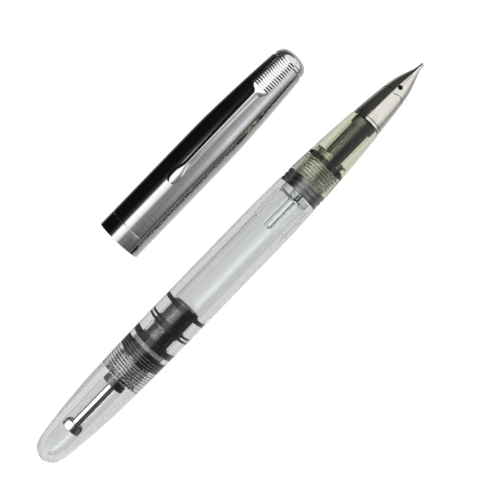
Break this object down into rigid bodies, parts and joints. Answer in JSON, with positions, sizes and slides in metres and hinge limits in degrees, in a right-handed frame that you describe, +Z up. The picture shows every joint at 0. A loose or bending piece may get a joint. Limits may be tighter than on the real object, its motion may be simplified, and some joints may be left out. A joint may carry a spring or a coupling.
{
  "type": "fountain pen",
  "caption": "Clear plunger-filling fountain pen with a conical steel nib, lying beside its brushed steel slip cap with a spring clip.",
  "frame": {"origin": "centre of the bottom of the bounding box: on the table, midway along the pen and midway between the outer sides of the pen and the parked cap", "axes": "+X along the pen towards the nib tip, +Y from the pen to the parked cap, +Z up from the table"},
  "size_m": [0.1284, 0.034, 0.0127],
  "materials": {
    "clear_plastic": "clear moulded, polished",
    "liner_plastic": "translucent moulded",
    "washer_plastic": "translucent moulded",
    "tinted_plastic": "yellow-green translucent, polished",
    "black_plastic": "gloss moulded",
    "black_rubber": "satin",
    "clutch_steel": "satin turned",
    "nib_steel": "polished",
    "tipping_alloy": "ground smooth",
    "plunger_steel": "polished, turned",
    "spring_steel": "drawn wire",
    "cap_steel": "brushed round the cap",
    "polished_steel": "polished"
  },
  "bodies": {
    "pen": {"barrel": "clear_plastic", "clutch_ring": "clutch_steel", "connector": "clear_plastic", "grip_seal_ring": "black_rubber", "grip_shell": "tinted_plastic", "collector": "black_plastic", "feed": "black_plastic", "nib": "nib_steel", "nib_tipping": "tipping_alloy", "breather_tube": "clear_plastic", "pump_collar": "black_plastic", "collar_washer": "washer_plastic", "pump_seal": "black_rubber", "guide_tube": "black_plastic", "guide_bush": "black_plastic", "return_spring": "spring_steel"},
    "plunger": {"plunger_button": "plunger_steel", "plunger_rod": "plunger_steel", "piston_body": "black_plastic", "piston_seal_rear": "black_rubber", "piston_seal_front": "black_rubber"},
    "blind_cap": {"blind_cap": "clear_plastic"},
    "cap": {"cap_shell": "cap_steel", "cap_inner_liner": "liner_plastic", "clip_ring": "polished_steel", "cap_finial": "polished_steel", "cap_bush": "cap_steel"},
    "clip": {"cap_clip": "polished_steel"}
  },
  "joints": [
    {"name": "plunger_press", "type": "slide", "parent": "pen", "child": "plunger", "axis": [1, 0, 0], "range_m": [0, 0.0114], "stiffness_N_per_m": 150, "springref_m": -0.006, "deforming": ["return_spring"]},
    {"name": "blind_cap_off", "type": "slide", "parent": "pen", "child": "blind_cap", "axis": [-1, 0, 0], "range_m": [0, 0.026]},
    {"name": "cap_slide", "type": "slide", "parent": "pen", "child": "cap", "axis": [0.9829, -0.1843, 0.001], "range_m": [0, 0.12209]},
    {"name": "clip_flex", "type": "hinge", "parent": "cap", "child": "clip", "pos_m": [0.0419, 0.01152, 0.01043], "axis": [0, 0.999, -0.0436], "range_deg": [0, 3], "stiffness_Nm_per_rad": 0.02, "springref_deg": -1.72}
  ]
}
